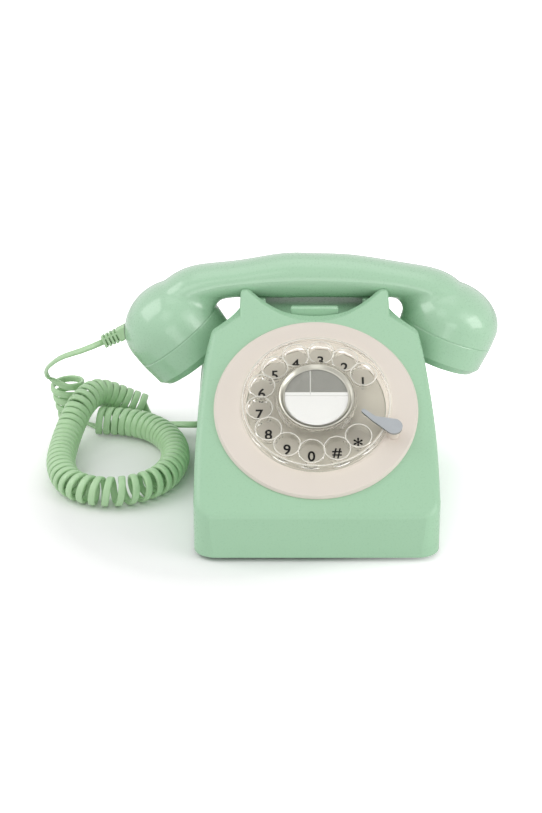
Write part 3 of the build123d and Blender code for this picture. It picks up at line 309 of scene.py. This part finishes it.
# each point of a plain stretch comes with the way its flat side faces
leadRoute = [
    ((-0.13143, 0.04406, 0.07883), (-0.2, -0.45, 0.85)), ((-0.14321, 0.0433, 0.07339), (-0.25, -0.4, 0.85)),
    ((-0.16, 0.052, 0.065), (-0.5, -0.2, 0.8)), ((-0.17, 0.066, 0.052), (-0.8, 0.1, 0.55)),
    ((-0.1735, 0.083, 0.0415), (-0.95, -0.1, 0.3)), ((-0.1732, 0.0912, 0.0335), (-0.9, -0.4, 0.2)),
]
floorRoute = [
    ((-0.1535, 0.0897, 0.0027), (0, -0.7, -0.7)), ((-0.1482, 0.0872, 0.0023), (0, -0.4, -0.9)),
    ((-0.1432, 0.0842, 0.0019), (0, 0, -1)), ((-0.1397, 0.0806, 0.0015), (0, 0, -1)),
]
curlHeight = 0.0094
curlRoute = [
    (-0.1395, 0.0763, curlHeight), (-0.123, 0.075, curlHeight), (-0.107, 0.068, curlHeight),
    (-0.095, 0.055, curlHeight), (-0.087, 0.034, curlHeight), (-0.087, 0.006, curlHeight),
    (-0.099, -0.018, curlHeight), (-0.124, -0.0295, curlHeight), (-0.149, -0.02, curlHeight),
    (-0.159, 0.008, curlHeight), (-0.1585, 0.042, curlHeight + 0.0005), (-0.1545, 0.06, curlHeight + 0.0075),
    (-0.1495, 0.073, 0.0235), (-0.1425, 0.0888, 0.0245), (-0.133, 0.0948, 0.0198),
    (-0.122, 0.0968, 0.0137), (-0.112, 0.0972, curlHeight),
]
tailRoute = [
    ((-0.1068, 0.0945, 0.0022), (0, 0, -1)), ((-0.0978, 0.0835, 0.0036), (0.2, 0.3, -0.9)),
    ((-0.0883, 0.0675, 0.0104), (0, 0.6, -0.8)), ((-0.0713, 0.0675, 0.0104), (0, 0.6, -0.8)),
]


def addObject(name, data):
    thing = bpy.data.objects.new(name, data)
    bpy.context.collection.objects.link(thing)
    return thing


def meshOf(build, name):
    mesh = bpy.data.meshes.new(name)
    build.to_mesh(mesh)
    build.free()
    return mesh


def finalMesh(thing):  # with its modifiers or bevels
    return bpy.data.meshes.new_from_object(thing.evaluated_get(bpy.context.evaluated_depsgraph_get()))


def splineCurve(points, resolution):
    curve = bpy.data.curves.new("route", "CURVE")
    curve.dimensions = "3D"
    curve.resolution_u = resolution
    spline = curve.splines.new("NURBS")
    spline.points.add(len(points) - 1)
    for point, place in zip(spline.points, points):
        point.co = (*place, 1)
    spline.order_u = 3
    spline.use_endpoint_u = True
    return curve


def meshFrom(curve):
    holder = addObject("holder", curve)
    mesh = finalMesh(holder)
    bpy.data.objects.remove(holder)
    return mesh


def readSpline(points, resolution):
    return [v.co.copy() for v in meshFrom(splineCurve(points, resolution)).vertices]


# loose turns under the lead, wider towards the top, where they lean outwards
def loopPoints(look):
    steps = look["loopTurns"] * look["perTurn"]
    centre = Vector((*look["loopCentre"], look["loopLow"]))
    points = []
    for k in range(1, steps + 1):
        left = (steps - k) / look["perTurn"]
        share = left / look["loopTurns"]
        turn = radians(look["loopEnd"]) - 2 * pi * left
        reach = look["loopRadius"] * look["insideBy"] * (1 + look["loopFlare"] * share)
        outward = Vector((cos(turn), sin(turn), 0))
        shift = Vector((*look["loopLean"], 0)) * share + Vector((0, 0, left * look["loopPitch"]))
        points.append((centre + shift + outward * reach, outward))
    return points


# helix round the points read from the route, with its turns drawn apart at the bend
def curlPoints(look, route):
    line = readSpline(route, look["axisSteps"])
    places = [0.0]
    for a, b in zip(line[:-1], line[1:]):
        places.append(places[-1] + (b - a).length)
    total = places[-1]
    phases = [0.0]
    for a, b in zip(places[:-1], places[1:]):
        share = ((a + b) / 2 / total - look["stretchAt"]) / look["stretchWidth"]
        pitch = look["pitch"] * (1 + look["stretchBy"] * exp(-share * share))
        phases.append(phases[-1] + (b - a) * 2 * pi / pitch)
    scale = look["turns"] * 2 * pi / phases[-1]
    points = []
    index = 0
    for k in range(round(look["turns"] * look["perTurn"]) + 1):
        wanted = min(2 * pi * k / look["perTurn"], look["turns"] * 2 * pi)
        while index < len(phases) - 2 and phases[index + 1] * scale < wanted:
            index += 1
        a, b = line[index], line[index + 1]
        span = (phases[index + 1] - phases[index]) * scale
        centre = a.lerp(b, (wanted - phases[index] * scale) / span)
        ahead = (b - a).normalized()
        across = ahead.cross(Vector((0, 0, 1))).normalized()
        turn = wanted - pi / 2
        outward = across * cos(turn) + across.cross(ahead) * sin(turn)
        points.append((centre + outward * (look["curlRadius"] * look["insideBy"]), outward))
    return points


# a tube with a flat section: its normals come from a second spline beside the first
def ribbonMesh(look, path, beside):
    section = []
    for k in range(look["sides"]):
        turn = 2 * pi * k / look["sides"]
        wide = abs(cos(turn)) ** look["corner"] * (1 if cos(turn) > 0 else -1)
        deep = abs(sin(turn)) ** look["corner"] * (1 if sin(turn) > 0 else -1)
        section.append((wide * look["width"] / 2, deep * look["thick"] / 2))
    build = bmesh.new()
    rings = []
    for k, place in enumerate(path):
        ahead = (path[min(k + 1, len(path) - 1)] - path[max(k - 1, 0)]).normalized()
        outward = beside[k] - place
        outward = (outward - ahead * outward.dot(ahead)).normalized()
        sideways = ahead.cross(outward)
        rings.append([build.verts.new(place + sideways * wide + outward * deep) for wide, deep in section])
    for first, second in zip(rings[:-1], rings[1:]):
        for k in range(look["sides"]):
            after = (k + 1) % look["sides"]
            build.faces.new((first[k], first[after], second[after], second[k]))
    build.faces.new(rings[0][::-1])
    build.faces.new(rings[-1])
    bmesh.ops.recalc_face_normals(build, faces=build.faces[:])
    for face in build.faces:
        face.smooth = len(face.verts) == 4
    return meshOf(build, "curledCord")


# the block where the cord leaves the handset, with slots cut across the side that faces the caller
boot = dict(
    length=0.0125, slots=4, firstSlot=0.0022, slotStep=0.0025, slotWide=0.0011, slotTall=0.004, slotDeep=0.0024,
)


def makeBoot(look):
    end = Vector(leadRoute[0][0])
    along = (Vector(leadRoute[1][0]) - end).normalized()
    front = Vector((0, -1, 0))
    front = (front - along * front.dot(along)).normalized()
    axes = Matrix((along, front, along.cross(front))).transposed().to_4x4()
    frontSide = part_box("cord_boot")[0][1]
    face = end.y - frontSide
    build = bmesh.new()
    for k in range(look["slots"]):
        back = look["length"] - look["firstSlot"] - k * look["slotStep"] - look["slotWide"] / 2
        place = Matrix.Translation(end - along * back + front * face) @ axes
        sizes = Matrix.Diagonal((look["slotWide"], 2 * look["slotDeep"], look["slotTall"], 1))
        bmesh.ops.create_cube(build, size=1.0, matrix=place @ sizes)
    cutter = addObject("bootSlots", meshOf(build, "bootSlots"))
    block = addObject("slottedBoot", frame["nodes"]["cord_boot"].data.copy())
    cut = block.modifiers.new("slots", "BOOLEAN")
    cut.operation = "DIFFERENCE"
    cut.object = cutter
    mesh = finalMesh(block)
    block.modifiers.clear()
    block.data = mesh
    bpy.data.objects.remove(cutter)
    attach(block, "handset")
    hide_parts("cord_boot")
    print("boot:", len(mesh.polygons), "faces")
    return block


def makeCord(look, block):
    points = leadRoute + loopPoints(look) + floorRoute + curlPoints(look, curlRoute) + tailRoute
    centres = [Vector(place) for place, outward in points]
    guides = [Vector(place) + Vector(outward).normalized() * look["thick"] for place, outward in points]
    path = readSpline(centres, look["resolution"])
    beside = readSpline(guides, look["resolution"])
    cord = addObject("curledCord", ribbonMesh(look, path, beside))
    cord.data.materials.append(finishes["cord_jacket"])
    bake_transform(cord)
    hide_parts("cord_lead", "cord_curls", "cord_tail")


makeCord(cordLook, makeBoot(boot))

# figures printed on the plate under the finger holes
figures = dict(
    marks="1234567890#*", first=33.5, step=360 / 14, radius=0.0337, size=0.0092, plateTop=0.00102,
    depth=0.00004, bold=0.0002, boldSigns=0.00018, squeeze=0.972, starSize=1.4, starDrop=0.0006,
)


def makeFigures(look):
    axes = Matrix((dialRight, dialUp, dialOut)).transposed().to_4x4()
    build = bmesh.new()
    for k, mark in enumerate(look["marks"]):
        text = bpy.data.curves.new("figure", "FONT")
        text.body = "9" if mark == "6" else mark  # a six is a nine turned round
        text.size = look["size"] * (look["starSize"] if mark == "*" else 1)
        weight = look["bold"] if mark.isdigit() else look["boldSigns"]
        text.bevel_depth = weight  # a bevel thickens the strokes, and is then pressed flat
        text.bevel_resolution = 0
        mesh = meshFrom(text)
        mesh.transform(Matrix.Diagonal((1, 1, look["depth"] / weight, 1)))
        for axis in range(2):  # the middle of the figure comes to the middle of its hole
            spread = [v.co[axis] for v in mesh.vertices]
            for v in mesh.vertices:
                v.co[axis] -= (min(spread) + max(spread)) / 2
        if mark == "6":
            mesh.transform(Matrix.Rotation(pi, 4, "Z"))
        angle = radians(look["first"] + k * look["step"])
        high = look["radius"] * sin(angle) * look["squeeze"]
        high -= look["starDrop"] if mark == "*" else 0
        place = onDial(look["radius"] * cos(angle), high, look["plateTop"])
        mesh.transform(Matrix.Translation(place) @ axes)
        build.from_mesh(mesh)
    piece = addObject("dialFigures", meshOf(build, "dialFigures"))
    piece.data.materials.append(mouldedMaterial("figureInk", ink))
    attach(piece, "base")
    print("figures:", len(look["marks"]))


makeFigures(figures)

# whitish, half-clear rings round the finger holes and the wheel's edge, on top of their collars: painted
# highlights standing in for the bright shine along the clear plastic's rims
highlightLips = dict(
    holeRadius=0.0077, holeTube=0.00036, holeOut=0.00918, edgeRadius=0.0435, edgeTube=0.0004, edgeOut=0.0095,
    steps=64, sides=10,
)


def addHighlightLip(build, centre, radius, tube, look):
    rings = []
    for k in range(look["steps"]):
        turn = 2 * pi * k / look["steps"]
        outward = dialRight * cos(turn) + dialUp * sin(turn)
        ring = []
        for j in range(look["sides"]):
            roll = 2 * pi * j / look["sides"]
            place = centre + outward * (radius + tube * cos(roll)) + dialOut * (tube * sin(roll))
            ring.append(build.verts.new(place))
        rings.append(ring)
    for first, second in zip(rings, rings[1:] + rings[:1]):
        for j in range(look["sides"]):
            after = (j + 1) % look["sides"]
            build.faces.new((first[j], second[j], second[after], first[after])).smooth = True


def makeHighlightLips(look):
    build = bmesh.new()
    for k in range(len(figures["marks"])):
        angle = radians(figures["first"] + k * figures["step"])
        centre = onDial(figures["radius"] * cos(angle), figures["radius"] * sin(angle), look["holeOut"])
        addHighlightLip(build, centre, look["holeRadius"], look["holeTube"], look)
    addHighlightLip(build, onDial(0, 0, look["edgeOut"]), look["edgeRadius"], look["edgeTube"], look)
    bmesh.ops.recalc_face_normals(build, faces=build.faces[:])
    piece = addObject("wheelHighlightLips", meshOf(build, "wheelHighlightLips"))
    # the rings' half-clear, whitish plastic paints the highlight on the rims
    piece.data.materials.append(mouldedMaterial("lipHighlightPlastic", rimHighlightPlastic))
    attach(piece, "dial")
    print("wheel lips:", len(piece.data.polygons), "faces")


makeHighlightLips(highlightLips)

# floor, light and camera of a plain white studio
studio = dict(
    floorSize=6.0, floorDrop=0.0002, floorColour=(0.96, 0.96, 0.96, 1), worldLight=0.52,
    shadeCentre=(-0.06, -0.02, 0.0), shadeReach=0.095, shadeFade=6.0, lampAim=(0, 0, 0.06),
    cameraPlace=(-0.0266, -1.1307, 0.5694), cameraTilt=65.5, lens=89.9, sensor=36.0,
    black=(0, 0, 0, 1), white=(1, 1, 1, 1),
)
lamps = {
    "keyLamp": dict(place=(-0.5, -1.0, 1.3), size=0.7, power=1.4),
    "fillLamp": dict(place=(0.9, -0.7, 0.9), size=0.7, power=1.5),
    "topLamp": dict(place=(0.0, 0.3, 1.4), size=1.0, power=2.2),
    "leftLamp": dict(place=(-0.9, 0.0, 0.85), size=0.8, power=4.4),
    "rightLamp": dict(place=(0.95, -0.4, 0.38), size=0.6, power=3.4),
    "frontLamp": dict(place=(0.0, -1.3, 0.2), size=0.6, power=1.45),
}


def makeStudio(look):
    mesh = bpy.data.meshes.new("studioFloor")
    half = look["floorSize"] / 2
    corners = [(-half, -half, 0), (half, -half, 0), (half, half, 0), (-half, half, 0)]
    mesh.from_pydata(corners, [], [(0, 1, 2, 3)])
    floor = addObject("studioFloor", mesh)
    floor.location.z = -look["floorDrop"]
    material, tree = startMaterial("floorWhite")
    # painted light: for the camera the floor glows white away from the object; the glow fades out within
    # shadeReach of shadeCentre, leaving a darker disc round the object where the floor's own shade and the
    # object's shadow show
    camera = tree.add("ShaderNodeLightPath", out=0)
    paint = tree.add("ShaderNodeBsdfDiffuse", {"Color": look["floorColour"]})
    place = tree.add("ShaderNodeTexCoord", out=3)
    away = tree.add("ShaderNodeVectorMath", {0: place, 1: look["shadeCentre"]}, out=1, operation="DISTANCE")
    far = tree.maths("MAXIMUM", away - look["shadeReach"], 0.0)
    paintedLift = camera * tree.maths("MINIMUM", far * look["shadeFade"], 1.0)
    shine = blendColours(tree, paintedLift, look["black"], look["white"])
    paintedGlow = tree.add("ShaderNodeEmission", {"Color": shine, "Strength": 1.0})
    surface = tree.add("ShaderNodeAddShader", {0: paint, 1: paintedGlow})
    floor.data.materials.append(finishMaterial(material, tree, surface))

    world = bpy.data.worlds.new("studioWorld")
    bpy.context.scene.world = world
    world.use_nodes = True
    world.node_tree.nodes.clear()
    tree = Wire(world.node_tree)
    seen = tree.add("ShaderNodeLightPath", out=0)
    glossy = tree.add("ShaderNodeLightPath", out=3)
    through = tree.add("ShaderNodeLightPath", out=6)
    shown = tree.maths("MAXIMUM", seen, tree.maths("MAXIMUM", glossy, through))
    strength = shown + (1 - shown) * look["worldLight"]
    sky = tree.add("ShaderNodeBackground", {"Color": look["white"], "Strength": strength})
    tree.add("ShaderNodeOutputWorld", {"Surface": sky})

    for name, lamp in lamps.items():
        data = bpy.data.lights.new(name, "AREA")
        data.size = lamp["size"]
        data.energy = lamp["power"]
        light = addObject(name, data)
        light.location = lamp["place"]
        light.rotation_euler = (Vector(look["lampAim"]) - light.location).to_track_quat("-Z", "Y").to_euler()

    data = bpy.data.cameras.new("photoCamera")
    data.lens = look["lens"]
    data.sensor_width = look["sensor"]
    data.sensor_fit = "AUTO"
    eye = addObject("photoCamera", data)
    eye.location = look["cameraPlace"]
    eye.rotation_euler = (radians(look["cameraTilt"]), 0, 0)
    bpy.context.scene.camera = eye
    bpy.context.scene.view_settings.view_transform = "Standard"


makeStudio(studio)
print("studio ready")
